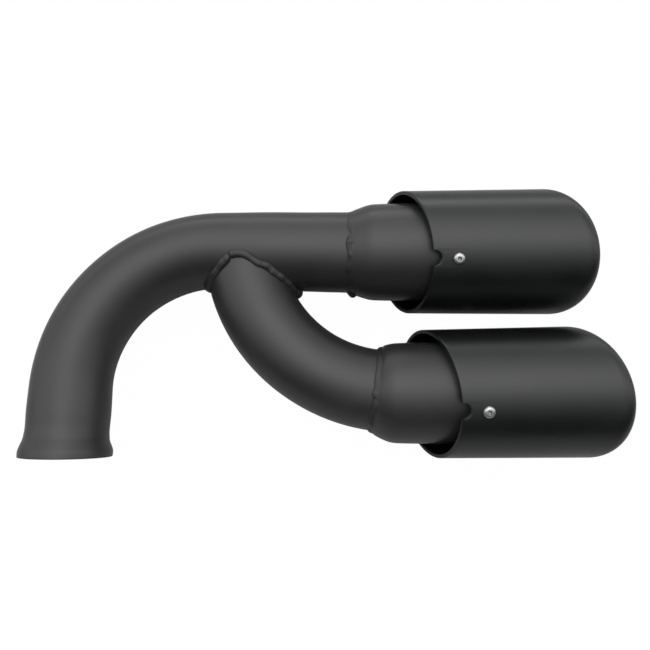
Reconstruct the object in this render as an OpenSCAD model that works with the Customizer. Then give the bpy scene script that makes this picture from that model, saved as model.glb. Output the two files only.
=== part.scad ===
// Twin exhaust tailpipe: a bent main pipe, a welded branch and two screwed-on outer tips.
// The origin is the centre of the inlet's mouth. The tips point along +X, the inlet opens
// towards -Y, and every tube's centre line lies in the plane Z = 0.

/* [Main pipe] */
// Outside diameter of the main pipe
pipe_d = 63.5; // [60:0.5:68]
// Wall of the main pipe and the branch
pipe_wall = 1.5; // [1.2:0.1:2.5]
// Outside diameter where bending has drawn the main pipe in
bend_d = 61.8; // [61.6:0.1:63.4]
// Length over which the pipe narrows from its full diameter to the bend's
draw_len = 16; // [10:1:24]
// Radius of the bend's centre line
bend_radius = 114.3; // [105:0.1:125]
// Straight leg from the inlet's mouth to the bend
leg_len = 53.8; // [46:0.2:90]
// Straight run from the bend to the upper sleeve's seam
run_len = 103; // [98:1:130]
// Angle by which the run falls away from the tips' axes
run_tilt = 1; // [0:0.1:2.5]

/* [Inlet] */
// Outside diameter of the expanded mouth
mouth_d = 70; // [69:0.5:76]
// Length of the mouth's straight socket
socket_len = 5; // [4:0.5:12]
// Length over which the leg widens to the mouth
flare_len = 12.5; // [8:0.5:20]

/* [Branch] */
// Outside diameter of the branch
branch_d = 61.2; // [58:0.1:61.4]
// Radius of the branch's centre line
branch_radius = 119; // [116:0.5:124]
// Angle that the branch still falls by at the lower sleeve's seam
branch_tilt = 7; // [3:0.5:10]
// Distance between the two tips' axes
axis_gap = 114.5; // [110:0.5:118]
// Height of the branch's end above the lower tip's axis
branch_rise = 2.8; // [0:0.1:3.5]
// How much smaller the hole in the main pipe is than the branch's bore, all round
hole_margin = 2; // [1:0.5:4]
// How far the lower seam stands beyond the upper one
seam_shift = 18.8; // [14:0.2:24]

/* [Sleeves] */
// Outside diameter of a sleeve just past its shoulder
sleeve_d = 78; // [76:0.5:80]
// Outside diameter of a sleeve at its open end
sleeve_end_d = 80.4; // [80:0.2:83]
// Wall of the sleeves
sleeve_wall = 1.6; // [1.2:0.1:2.4]
// Length of the shoulder that widens from the neck
shoulder_len = 18; // [14:0.5:24]
// Length of a sleeve from its seam to its open end
sleeve_len = 120; // [105:1:140]
// Length of the neck that closes on the pipe
neck_len = 4; // [3:0.5:6]
// Length of pipe that stands inside a sleeve
pipe_insert = 7; // [6:0.5:9]
// Gap between a pipe and the neck around it
neck_fit = 0.05; // [0.02:0.01:0.1]

/* [Outer tips] */
// Gap between a sleeve's open end and the inside of its tip at the rear rim
tip_gap = 6.1; // [5:0.1:9]
// How much wider a tip is where its lip begins to roll in than at its rear rim
tip_spread = 2.4; // [-1:0.2:5]
// Wall of the tips
tip_wall = 3; // [2:0.1:4]
// Length of a tip from its rear rim to the start of the lip
tip_len = 112; // [100:1:130]
// Radius of the lip that rolls in
lip_roll = 15; // [10:0.5:18]
// Radius of the lip's inner turn, back into the tip
lip_turn = 4; // [3.6:0.1:6]
// Length of the wall that the lip ends in, inside the tip
lip_return = 8; // [4:0.5:14]
// Angle of the slash cut at the rear rim
rear_slash = 19.8; // [10:0.2:24]
// Angle of the slash cut at the outlet
front_slash = 24.2; // [12:0.2:28]
// Direction of both slash cuts and of the notch, from +Z towards -Y
clocking = 24.5; // [0:0.5:45]
// Distance from the upper seam to the middle of the upper tip's rear rim
upper_tip_gap = 43.6; // [40:0.2:48]
// Distance from the lower seam to the middle of the lower tip's rear rim
lower_tip_gap = 41.3; // [38:0.2:48]
// Diameter of the half-round notch in the rear rim
notch_d = 12.4; // [8:0.2:16]

/* [Fastenings] */
// Distance from the rear rim's middle to the ring of screws
screw_ring = 36.8; // [34:0.2:44]
// Direction of the first screw, from +Z towards -Y
screw_clocking = 23.5; // [0:0.5:45]
// Angle from one screw to the next
screw_step = 115; // [110:1:120]
// Diameter of a screw's thread
screw_d = 5; // [4:0.5:6]
// Length of a screw under its head
screw_len = 8; // [7:0.5:9]
// Diameter of a screw's button head
head_d = 9.5; // [9:0.1:11]
// Height of a screw's button head
head_h = 2.6; // [2.2:0.1:3.2]
// Width across the flats of the hexagon socket
hex_af = 3; // [2.5:0.5:4]
// Depth of the hexagon socket
hex_depth = 1.6; // [1:0.1:2]
// Diameter of the hole for a screw in the tip's wall
hole_d = 5.5; // [5.2:0.1:7]
// Diameter of a welded boss
boss_d = 11; // [9:0.5:14]
// Radial gap between a thread and its boss
thread_fit = 0.05; // [0.02:0.01:0.1]
// Gap left where flat parts seat on curved ones
seat_gap = 0.05; // [0.03:0.01:0.15]

/* [Welds] */
// Radius of the bead around a sleeve's neck
seam_bead = 3.4; // [2.6:0.1:4]
// Width of the branch's bead to each side of the joint
saddle_bead = 3.6; // [2.5:0.1:4.5]
// Height of the branch's bead over the line between its feet
saddle_crown = 1.6; // [1:0.1:2.4]
// Gap between the branch's bead and the pipes
bead_fit = 0.3; // [0.2:0.01:0.4]

/* [Hidden] */
$fn = 96;

// Screws around each tip
screws = 3;
// Facets around a tip, along its rolled lip, around the saddle bead and across it
tip_facets = 72;
roll_steps = 7;
turn_steps = 5;
bead_steps = 72;
crown_steps = 4;
// Steps along a shoulder and along the flare
shoulder_steps = 9;
flare_steps = 5;
cap_steps = 6;
edge_steps = 2;
// Arc angles between which the branch leaves the main pipe, and steps of halving to find where
first_angle = 178;
last_angle = 230;
halving_steps = 26;
// Angle to either side over which the saddle's direction is taken
side_angle = 0.5;
// Straight rim under a screw's button, and metal around its socket
head_rim = 0.4;
socket_land = 0.7;
// How far cutting tools run past what they cut
past = 1;
pipe_colour = "#45464a";
tip_colour = "#333735";
screw_colour = "#c9cbcd";

// Radii
pipe_r = pipe_d / 2;
bend_r = bend_d / 2;
branch_r = branch_d / 2;

// Outside diameters of a tip at its rear rim and where its lip begins
tip_rear_d = sleeve_end_d + 2 * (tip_gap + tip_wall);
tip_front_d = tip_rear_d + tip_spread;

// Corners of the main pipe's centre line
leg_dir = [sin(run_tilt), cos(run_tilt)];
run_dir = [cos(run_tilt), -sin(run_tilt)];
bend_start = leg_len * leg_dir;
bend_centre = bend_start + bend_radius * run_dir;
bend_end = bend_centre + bend_radius * leg_dir;
upper_seam = bend_end + run_len * run_dir;

// The lower seam, and the arc that the branch follows down to it
lower_axis_y = upper_seam[1] - axis_gap;
lower_seam = [upper_seam[0] + seam_shift, lower_axis_y + branch_rise];
branch_centre = lower_seam + branch_radius * [sin(branch_tilt), cos(branch_tilt)];
branch_last = 270 - branch_tilt;
// The branch's arc starts on the main pipe's centre line
branch_first = 180 + asin((branch_centre[1] - run_y(branch_centre[0] - branch_radius)) / branch_radius);

function run_y(x) = bend_end[1] - (x - bend_end[0]) * tan(run_tilt);

// A smooth step from 0 to 1
function ease(t) = t * t * (3 - 2 * t);

// Radius of a sleeve's outside at a distance from its seam. The neck covers its pipe all round.
function neck_outer(lower) = tube_radius(lower) + neck_fit + sleeve_wall + seam_rise(lower);
function sleeve_r(lower, s) =
    s < 0 ? neck_outer(lower)
    : s < shoulder_len ? neck_outer(lower) + (sleeve_d / 2 - neck_outer(lower)) * ease(s / shoulder_len)
    : sleeve_d / 2 + (sleeve_end_d - sleeve_d) / 2 * (s - shoulder_len) / (sleeve_len - shoulder_len);

// Radius of a tip's outside at a distance from its rear rim
function tip_r(x) = (tip_rear_d + (tip_front_d - tip_rear_d) * x / tip_len) / 2;

// Turns a child that is built along +Z to run along +X, or along -Y
module to_x() rotate([0, 90, 0]) children();
module to_inlet() rotate([90, 0, 0]) children();

// A stretch of a torus around the origin, from an angle and either way round
module arc_tube(arc_radius, tube_r, from, sweep)
    rotate([sweep < 0 ? 180 : 0, 0, 0]) rotate([0, 0, sweep < 0 ? -from : from])
        rotate_extrude(angle = abs(sweep)) translate([arc_radius, 0]) circle(r = tube_r);

// Profile of the leg, from the bend down to the mouth: radius and distance below the bend
function leg_profile(shrink, reach) = concat(
    [[0, 0], [bend_r - shrink, 0], [pipe_r - shrink, draw_len]],
    [for (i = [0:flare_steps])
        let (t = i / flare_steps)
        [pipe_r + (mouth_d / 2 - pipe_r) * ease(t) - shrink, leg_len - socket_len - flare_len * (1 - t)]],
    [[mouth_d / 2 - shrink, leg_len + reach], [0, leg_len + reach]]
);

// Profile of the run, from the bend to inside the upper sleeve
function run_profile(shrink, reach) = concat(
    [[0, 0], [bend_r - shrink, 0], [pipe_r - shrink, draw_len]],
    [[pipe_r - shrink, run_len + pipe_insert + reach], [0, run_len + pipe_insert + reach]]
);

// The main pipe is built around its bend's centre, with the run along +X and the leg along -Y
module main_solid(shrink = 0, reach = 0)
    translate([bend_centre[0], bend_centre[1], 0]) rotate([0, 0, -run_tilt]) {
        arc_tube(bend_radius, bend_r - shrink, 90, 90);
        translate([0, bend_radius, 0]) to_x() rotate_extrude() polygon(run_profile(shrink, reach));
        translate([-bend_radius, 0, 0]) to_inlet() rotate_extrude() polygon(leg_profile(shrink, reach));
    }

// The branch is built around its arc's centre, with its lower end along +X
module branch_solid(shrink = 0, reach = 0)
    translate([branch_centre[0], branch_centre[1], 0]) rotate([0, 0, -branch_tilt]) {
        arc_tube(branch_radius, branch_r - shrink, 270, branch_first - branch_last);
        translate([0, -branch_radius, 0]) to_x() cylinder(r = branch_r - shrink, h = pipe_insert + reach);
    }

module main_pipe()
    color(pipe_colour) difference() {
        main_solid();
        main_solid(pipe_wall, past);
        branch_solid(pipe_wall + hole_margin);
    }

module branch_pipe()
    color(pipe_colour) difference() {
        branch_solid();
        branch_solid(pipe_wall, past);
        main_solid();
    }

// Saddle bead. Its path is the curve where the branch's outside meets the main pipe's outside.

// Distance of a point from the main pipe's centre line, less the pipe's radius there
function along_run(p) = ([p[0], p[1]] - bend_end) * run_dir;
function main_radius(p) = bend_r + (pipe_r - bend_r) * min(1, max(0, along_run(p) / draw_len));
function main_off(p) =
    along_run(p) > 0
    ? ([p[0], p[1]] - bend_end) * leg_dir
    : norm([p[0], p[1]] - bend_centre) - bend_radius;
function main_clear(p) = norm([main_off(p), p[2]]) - main_radius(p);
function main_normal(p) =
    let (out = along_run(p) > 0 ? leg_dir : ([p[0], p[1]] - bend_centre) / norm([p[0], p[1]] - bend_centre),
         v = [out[0] * main_off(p), out[1] * main_off(p), p[2]])
    v / norm(v);

// A point on the branch: angle along its arc and angle around its tube
function branch_point(a, f) =
    let (reach = branch_radius + branch_r * cos(f))
    [branch_centre[0] + reach * cos(a), branch_centre[1] + reach * sin(a), branch_r * sin(f)];
function branch_normal(a, f) = [cos(f) * cos(a), cos(f) * sin(a), sin(f)];

// The arc angle at which the branch leaves the main pipe, found by halving
function leave_angle(f, low = first_angle, high = last_angle, left = halving_steps) =
    let (mid = (low + high) / 2)
    left == 0 ? mid
    : main_clear(branch_point(mid, f)) < 0 ? leave_angle(f, mid, high, left - 1)
    : leave_angle(f, low, mid, left - 1);
function saddle_point(f) = branch_point(leave_angle(f), f);
function unit(v) = v / norm(v);

// One section of the bead: its root, its foot on the main pipe, its crown and its foot on the branch
function saddle_section(f) =
    let (p = saddle_point(f), run = unit(saddle_point(f + side_angle) - saddle_point(f - side_angle)),
         n_main = main_normal(p), n_branch = branch_normal(leave_angle(f), f),
         to_main = unit(cross(n_main, run)), to_branch = unit(cross(run, n_branch)),
         out = unit(n_main + n_branch))
    concat(
        [p + bead_fit * out],
        [p + saddle_bead * to_main + bead_fit * n_main],
        [for (i = [1:crown_steps - 1])
            let (t = i / crown_steps)
            p + saddle_bead * ((1 - t) * to_main + t * to_branch)
              + (saddle_crown * sin(180 * t) + bead_fit) * out],
        [p + saddle_bead * to_branch + bead_fit * n_branch]
    );

// A closed ring skinned through equal sections
module ring_skin(sections) {
    rows = len(sections);
    size = len(sections[0]);
    points = [for (s = sections) for (p = s) p];
    faces = [for (i = [0:rows - 1]) for (j = [0:size - 1])
        let (a = i * size + j, b = i * size + (j + 1) % size,
             c = ((i + 1) % rows) * size + (j + 1) % size, d = ((i + 1) % rows) * size + j)
        each [[a, b, c], [a, c, d]]];
    polyhedron(points = points, faces = faces);
}

module branch_weld()
    color(pipe_colour) ring_skin([for (i = [0:bead_steps - 1]) saddle_section(-360 * i / bead_steps)]);

// Sleeves. A sleeve is turned about its tip's axis, and its seam and bore are square to its pipe.
function seam(lower) = lower ? lower_seam : upper_seam;
function seam_tilt(lower) = lower ? branch_tilt : run_tilt;
function tube_radius(lower) = lower ? branch_r : pipe_r;
function axis_y(lower) = lower ? lower_axis_y : upper_seam[1];
function seam_rise(lower) = seam(lower)[1] - axis_y(lower);

function bell_profile(lower, shrink, first) =
    let (steps = [for (i = [0:shoulder_steps]) shoulder_len * i / shoulder_steps],
         stations = concat([first], [for (s = steps) if (s > first) s], [sleeve_len]))
    [for (s = stations) [sleeve_r(lower, s) - shrink, s]];

module bell(lower, shrink, first, reach) {
    profile = bell_profile(lower, shrink, first);
    end = sleeve_len + reach;
    end_r = profile[len(profile) - 1][0];
    translate([seam(lower)[0], axis_y(lower), 0]) to_x()
        rotate_extrude() polygon(concat([[0, first]], profile, [[end_r, end], [0, end]]));
}

// A cylinder along the pipe's end, measured from the seam
module seam_plug(lower, radius, from, to)
    translate([seam(lower)[0], seam(lower)[1], 0]) rotate([0, 0, -seam_tilt(lower)])
        translate([from, 0, 0]) to_x() cylinder(r = radius, h = to - from);

module sleeve_outside(lower)
    difference() {
        bell(lower, 0, -neck_len, 0);
        seam_plug(lower, sleeve_d, -sleeve_d, 0);
    }

module sleeve(lower)
    color(pipe_colour) difference() {
        sleeve_outside(lower);
        seam_plug(lower, tube_radius(lower) + neck_fit, -past, pipe_insert + past);
        bell(lower, sleeve_wall, neck_len, past);
    }

// A bead around the neck, left over from a full ring once the pipe and the sleeve are cut from it
module sleeve_weld(lower)
    color(pipe_colour) difference() {
        translate([seam(lower)[0], seam(lower)[1], 0]) rotate([0, 0, -seam_tilt(lower)]) to_x()
            rotate_extrude() translate([tube_radius(lower) + sleeve_wall / 2, 0]) circle(r = seam_bead);
        seam_plug(lower, tube_radius(lower) + neck_fit, -seam_bead - past, seam_bead + past);
        sleeve_outside(lower);
    }

// Outer tips. A tip is a turned shell whose rear rim and rolled lip are both slanted.

// Middle of a tip's rear rim
function tip_x(lower) = seam(lower)[0] + (lower ? lower_tip_gap : upper_tip_gap);
tip_total = tip_len + lip_roll;

// An arc in the shell's profile, as radius and distance from the rear rim
function profile_arc(centre, radius, from, to, steps) =
    [for (i = [0:steps]) let (a = from + (to - from) * i / steps)
        [centre[0] + radius * cos(a), centre[1] + radius * sin(a)]];

roll_centre = [tip_front_d / 2 - lip_roll, tip_len];
turn_centre = [roll_centre[0], tip_total - lip_turn];
lip_edge = turn_centre[1] - lip_return;
function shell_profile() = concat(
    [[tip_rear_d / 2, 0]],
    profile_arc(roll_centre, lip_roll, 0, 90, roll_steps),
    [for (p = profile_arc(turn_centre, lip_turn, 90, 180, turn_steps)) if (p[0] < roll_centre[0] - seat_gap) p],
    [[turn_centre[0] - lip_turn, lip_edge], [turn_centre[0] - lip_turn + tip_wall, lip_edge]],
    profile_arc(turn_centre, lip_turn - tip_wall, 180, 90, edge_steps),
    [for (p = profile_arc(roll_centre, lip_roll - tip_wall, 90, 0, roll_steps)) if (p[0] > roll_centre[0] + seat_gap) p],
    [[tip_rear_d / 2 - tip_wall, 0]]
);

// The slash cuts slide each point along the axis, by its own height towards the clocking direction
function slash_at(x) = tan(rear_slash) + (tan(front_slash) - tan(rear_slash)) * x / tip_total;
function shell_point(p, angle) =
    [p[1] + slash_at(p[1]) * p[0] * cos(angle - clocking), -p[0] * sin(angle), p[0] * cos(angle)];

// Angle of a screw around the axis, from +Z towards -Y
function screw_angle(i) = screw_clocking + screw_step * i;

// Places a child, built along +Z, on a tip's axis and turns it outwards to an angle
module outward(lower, x, angle)
    translate([tip_x(lower) + x, axis_y(lower), 0]) rotate([angle, 0, 0]) children();

module tip(lower)
    color(tip_colour) difference() {
        translate([tip_x(lower), axis_y(lower), 0])
            ring_skin([for (i = [0:tip_facets - 1])
                [for (p = shell_profile()) shell_point(p, -360 * i / tip_facets)]]);
        for (i = [0:screws - 1])
            outward(lower, screw_ring, screw_angle(i)) cylinder(d = hole_d, h = tip_front_d);
        outward(lower, slash_at(0) * tip_rear_d / 2, clocking) cylinder(d = notch_d, h = tip_front_d);
    }

// Height of a boss's flat top, where its rim meets the inside of the tip's faceted wall
inner_r = min(tip_r(screw_ring - boss_d / 2), tip_r(screw_ring + boss_d / 2)) - tip_wall;
boss_top = sqrt(pow(inner_r * cos(180 / tip_facets), 2) - pow(boss_d / 2, 2)) - seat_gap;

module boss(lower, i)
    color(pipe_colour) difference() {
        outward(lower, screw_ring, screw_angle(i)) cylinder(d = boss_d, h = boss_top);
        sleeve_outside(lower);
        outward(lower, screw_ring, screw_angle(i)) cylinder(d = screw_d + 2 * thread_fit, h = boss_top + past);
    }

// Button head: a spherical cap over a short straight rim
head_seat = max(tip_r(screw_ring - head_d / 2), tip_r(screw_ring + head_d / 2)) + seat_gap;
cap_h = head_h - head_rim;
flat_r = hex_af / 2 + socket_land;
cap_r = head_d / 2 - flat_r;
function cap_points() = [for (i = [0:cap_steps]) let (a = 90 * i / cap_steps)
    [flat_r + cap_r * cos(a), head_rim + cap_h * sin(a)]];

module screw(lower, i)
    color(screw_colour) outward(lower, screw_ring, screw_angle(i)) {
        translate([0, 0, head_seat]) difference() {
            rotate_extrude() polygon(concat([[0, 0], [head_d / 2, 0]], cap_points(), [[0, head_h]]));
            translate([0, 0, head_h - hex_depth]) cylinder(d = hex_af / cos(30), h = hex_depth + past, $fn = 6);
        }
        translate([0, 0, head_seat - screw_len]) cylinder(d = screw_d, h = screw_len);
    }

main_pipe();
branch_pipe();
branch_weld();
sleeve(false);  // upper_sleeve
sleeve_weld(false);  // upper_sleeve_weld
tip(false);  // upper_tip
boss(false, 0);  // upper_boss_1
boss(false, 1);  // upper_boss_2
boss(false, 2);  // upper_boss_3
screw(false, 0);  // upper_screw_1
screw(false, 1);  // upper_screw_2
screw(false, 2);  // upper_screw_3
sleeve(true);  // lower_sleeve
sleeve_weld(true);  // lower_sleeve_weld
tip(true);  // lower_tip
boss(true, 0);  // lower_boss_1
boss(true, 1);  // lower_boss_2
boss(true, 2);  // lower_boss_3
screw(true, 0);  // lower_screw_1
screw(true, 1);  // lower_screw_2
screw(true, 2);  // lower_screw_3
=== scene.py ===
"""Twin exhaust tailpipe with two slash-cut tips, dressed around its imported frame.

The pipes, sleeves, tips, weld beads and screws are surfaces worked out with numpy in
millimetres, in the frame's own axes: the origin is the middle of the inlet's mouth, the tips
point along +X and the tubes' centre lines lie in the plane Z = 0. A floor, a white surround
that also gives the light, and the camera follow at the end.
"""

import logging
import math
from dataclasses import dataclass, field
from enum import Enum

import bmesh
import bpy
import numpy as np
from mathutils import Matrix, Vector


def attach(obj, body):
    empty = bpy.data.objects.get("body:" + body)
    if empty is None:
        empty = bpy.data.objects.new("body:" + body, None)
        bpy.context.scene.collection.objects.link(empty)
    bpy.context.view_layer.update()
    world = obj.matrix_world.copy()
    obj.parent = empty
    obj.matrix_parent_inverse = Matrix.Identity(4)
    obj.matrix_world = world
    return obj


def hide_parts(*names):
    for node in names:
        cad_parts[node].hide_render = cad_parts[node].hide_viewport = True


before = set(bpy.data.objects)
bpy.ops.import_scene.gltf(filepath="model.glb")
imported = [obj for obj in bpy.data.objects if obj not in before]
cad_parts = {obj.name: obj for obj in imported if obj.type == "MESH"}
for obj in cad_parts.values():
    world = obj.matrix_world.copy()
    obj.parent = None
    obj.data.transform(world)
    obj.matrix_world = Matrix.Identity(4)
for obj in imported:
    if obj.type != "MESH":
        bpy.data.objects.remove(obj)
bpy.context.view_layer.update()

LOG = logging.getLogger("tailpipe")
MM = 0.001
BODY = "root"
SHARP_EDGE = math.radians(38)
POLE_GAP = 1e-7
NODE_STEP = 180
WHITE = (1.0, 1.0, 1.0, 1.0)
UPWARD = np.array([0.0, 0.0, 1.0])
# Rate and phase of each sine in a welder's unsteady hand
HAND_SINES = ((1.0, 1.0), (0.617, 2.1), (0.271, 3.7))

Array = np.ndarray
Colour = tuple[float, float, float]
Span = tuple[float, float]
Inputs = dict[str | int, object]
Socket = bpy.types.NodeSocket


class Side(Enum):
    """Which of the two outlets a piece belongs to."""

    UPPER = "upper"
    LOWER = "lower"


class Slot(Enum):
    """The record's material slots."""

    PIPE = "pipe_black"
    WELD = "weld_black"
    TIP = "tip_black"
    BOSS = "boss_black"
    SCREW = "screw_steel"


# Numbers and surfaces


def smooth_step(value: Array) -> Array:
    """Runs from 0 to 1 as 3t^2 - 2t^3 while the value does, and stays flat outside."""
    t = np.clip(value, 0.0, 1.0)
    return t * t * (3.0 - 2.0 * t)


def through(stations: tuple[float, ...], values: tuple[float, ...], at: Array) -> Array:
    """Cubic Hermite curve through values, with averaged slopes inside and none at the ends.

    Args:
        stations: Rising places of the known values.
        values: Known values, one per station.
        at: Places to read the curve at; beyond the ends it keeps the end values.

    Returns:
        The curve's values.
    """
    x = np.asarray(stations, float)
    y = np.asarray(values, float)
    slope = np.gradient(y, x)
    slope[0] = 0.0
    slope[-1] = 0.0
    i = np.clip(np.searchsorted(x, at) - 1, 0, len(x) - 2)
    step = x[i + 1] - x[i]
    t = np.clip((at - x[i]) / step, 0.0, 1.0)
    start = (1 + 2 * t) * (1 - t) ** 2 * y[i] + t * (1 - t) ** 2 * step * slope[i]
    end = t * t * (3 - 2 * t) * y[i + 1] + t * t * (t - 1) * step * slope[i + 1]
    return start + end


def around(count: int) -> Array:
    """Angles of a closed ring in radians, the last one short of a full turn."""
    return np.linspace(0.0, 2.0 * math.pi, count, endpoint=False)


def unit(vectors: Array) -> Array:
    """Scales each vector to length 1."""
    return vectors / np.linalg.norm(vectors, axis=-1, keepdims=True)


def tilted(tilt: float) -> tuple[Array, Array]:
    """Unit vectors along and beside an axis in the plane that dips from +X by a tilt."""
    ahead = np.array([math.cos(tilt), -math.sin(tilt)])
    beside = np.array([math.sin(tilt), math.cos(tilt)])
    return ahead, beside


def quads_of(rows: int, columns: int, closed: bool) -> Array:
    """Corner indices of a grid whose columns close around.

    Args:
        rows: Number of rings.
        columns: Number of points in each ring.
        closed: Whether the last ring joins the first.

    Returns:
        One row of four indices per face.
    """
    i = np.arange(rows if closed else rows - 1)[:, None]
    j = np.arange(columns)[None, :]
    after = (i + 1) % rows
    right = (j + 1) % columns
    corners = (i * columns + j, after * columns + j, after * columns + right, i * columns + right)
    return np.stack(corners, axis=-1).reshape(-1, 4)


def signed_volume(points: Array, quads: Array) -> float:
    """Six times the volume inside a skin: tetrahedra from the origin to each half face."""
    a, b, c, d = (points[quads[:, k]] for k in range(4))
    halves = np.einsum("ij,ij->i", a, np.cross(b, c) + np.cross(c, d))
    return float(halves.sum())


def skin(name: str, rings: Array, closed: bool = True) -> bpy.types.Object:
    """Makes an object from rings of points, with its faces pointing outwards.

    Args:
        name: Name of the object.
        rings: Points in millimetres, as rings by points by three.
        closed: Whether the last ring joins the first; otherwise both end rings are poles.

    Returns:
        The new object, at the origin, unturned and unscaled.
    """
    rows, columns, _ = rings.shape
    points = rings.reshape(-1, 3)
    quads = quads_of(rows, columns, closed)
    if signed_volume(points, quads) < 0:
        quads = quads[:, ::-1]
    mesh = bpy.data.meshes.new(name)
    mesh.vertices.add(len(points))
    mesh.vertices.foreach_set("co", (points * MM).astype(np.float32).ravel())
    mesh.loops.add(quads.size)
    mesh.loops.foreach_set("vertex_index", quads.astype(np.int32).ravel())
    mesh.polygons.add(len(quads))
    mesh.polygons.foreach_set("loop_start", np.arange(0, quads.size, 4, dtype=np.int32))
    mesh.update(calc_edges=True)
    mesh.validate()
    obj = bpy.data.objects.new(name, mesh)
    bpy.context.scene.collection.objects.link(obj)
    if not closed:
        close_poles(mesh)
    shade(mesh)
    return obj


def close_poles(mesh: bpy.types.Mesh) -> None:
    """Merges the points of each pole ring, which has no radius, into one."""
    work = bmesh.new()
    work.from_mesh(mesh)
    bmesh.ops.remove_doubles(work, verts=work.verts, dist=POLE_GAP)
    work.to_mesh(mesh)
    work.free()


def shade(mesh: bpy.types.Mesh) -> None:
    """Shades a mesh smooth, apart from its sharp edges."""
    mesh.polygons.foreach_set("use_smooth", np.ones(len(mesh.polygons), dtype=bool))
    mesh.set_sharp_from_angle(angle=SHARP_EDGE)


def cut(obj: bpy.types.Object, cutter: bpy.types.Object) -> None:
    """Cuts a closed form out of an object for good, and deletes the form.

    Args:
        obj: The object to cut.
        cutter: Closed object whose inside is taken away.
    """
    boolean = obj.modifiers.new("cut", "BOOLEAN")
    boolean.operation = "DIFFERENCE"
    boolean.solver = "EXACT"
    boolean.object = cutter
    bpy.context.view_layer.update()
    graph = bpy.context.evaluated_depsgraph_get()
    made = bpy.data.meshes.new_from_object(obj.evaluated_get(graph))
    obj.modifiers.clear()
    obj.data = made
    shade(made)
    bpy.data.objects.remove(cutter)


def shell(outside: Array, inside: Array) -> Array:
    """Joins two stacks of rings into one closed wall: out along one, back along the other."""
    return np.concatenate([outside, inside[::-1]], axis=0)


def softened(stations: Array, radius: float) -> tuple[Array, Array]:
    """Rounds the two rims of a wall with a quarter circle, drawn as three rings.

    Args:
        stations: Distances of a wall's rings, rising.
        radius: Radius of the rounding, in millimetres.

    Returns:
        The new distances, and how far each ring steps in from the wall's face.
    """
    first, last = stations[0], stations[-1]
    middle = stations[(stations > first + radius) & (stations < last - radius)]
    halfway = radius * (1 - math.sqrt(0.5))
    ends = ([first, first + halfway, first + radius], [last - radius, last - halfway, last])
    steps = ([radius, halfway, 0.0], [0.0, halfway, radius])
    return (
        np.concatenate([ends[0], middle, ends[1]]),
        np.concatenate([steps[0], np.zeros(len(middle)), steps[1]]),
    )


# Finishes


class Nodes:
    """Short calls for laying out a node tree.

    What a call gives an input is either another node's output, which is linked, or a constant.
    """

    def __init__(self, tree: bpy.types.NodeTree) -> None:
        """Empties the tree and starts at its left edge."""
        tree.nodes.clear()
        self.tree = tree
        self.place = 0

    def add(self, kind: str, inputs: Inputs, **settings: object) -> bpy.types.Node:
        """Adds a node.

        Args:
            kind: Blender's name of the node type.
            inputs: Outputs or constants, by the name or number of the input that takes them.
            **settings: The node's own settings, by name.

        Returns:
            The node.
        """
        node = self.tree.nodes.new(kind)
        node.location = (self.place, 0)
        self.place += NODE_STEP
        for name, value in settings.items():
            setattr(node, name, value)
        for name, value in inputs.items():
            if isinstance(value, Socket):
                self.tree.links.new(value, node.inputs[name])
            else:
                node.inputs[name].default_value = value
        return node

    def calculate(self, operation: str, *values: object) -> Socket:
        """Adds a calculation, and gives its result."""
        inputs = dict(enumerate(values))
        return self.add("ShaderNodeMath", inputs, operation=operation).outputs[0]

    def remap(self, value: object, old: Span, new: Span, kind: str = "LINEAR") -> Socket:
        """Stretches a value from an old span to a new one, and holds it at the ends."""
        spans = {"From Min": old[0], "From Max": old[1], "To Min": new[0], "To Max": new[1]}
        inputs = {"Value": value, **spans}
        return self.add("ShaderNodeMapRange", inputs, interpolation_type=kind).outputs[0]

    def noise(self, place: Socket, scale: Socket, detail: float, roughness: float) -> Socket:
        """Adds a noise, and gives its value."""
        inputs = {"Vector": place, "Scale": scale, "Detail": detail, "Roughness": roughness}
        return self.add("ShaderNodeTexNoise", inputs).outputs["Fac"]

    def blend(self, share: Socket, first: Colour, second: Colour) -> Socket:
        """Runs from one colour to another as a share goes from 0 to 1."""
        inputs = {0: share, 6: (*first, 1.0), 7: (*second, 1.0)}
        return self.add("ShaderNodeMix", inputs, data_type="RGBA").outputs[2]


def coat_group() -> bpy.types.NodeTree:
    """Sprayed and baked coat: fine grain over slow mottling, used by every finish.

    Grain is a fine noise mixed with an orange-peel noise four times as wide. Mottle is a slow
    noise, stretched to run from 0 to 1.

    Returns:
        The node group, with inputs Vector, Grain Scale and Mottle Scale.
    """
    tree = bpy.data.node_groups.new("baked coat", "ShaderNodeTree")
    nodes = Nodes(tree)
    tree.interface.new_socket("Vector", in_out="INPUT", socket_type="NodeSocketVector")
    for name in ("Grain Scale", "Mottle Scale"):
        tree.interface.new_socket(name, in_out="INPUT", socket_type="NodeSocketFloat")
    for name in ("Height", "Mottle"):
        tree.interface.new_socket(name, in_out="OUTPUT", socket_type="NodeSocketFloat")
    given = nodes.add("NodeGroupInput", {}).outputs
    place, scale = given["Vector"], given["Grain Scale"]
    grain = nodes.noise(place, scale, 3.0, 0.6)
    peel = nodes.noise(place, nodes.calculate("MULTIPLY", scale, 0.25), 1.0, 0.4)
    slow = nodes.noise(place, given["Mottle Scale"], 4.0, 0.55)
    height = nodes.calculate("MULTIPLY_ADD", grain, 0.35, peel)
    mottle = nodes.remap(slow, (0.3, 0.7), (0.0, 1.0))
    nodes.add("NodeGroupOutput", {"Height": height, "Mottle": mottle})
    return tree


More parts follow.
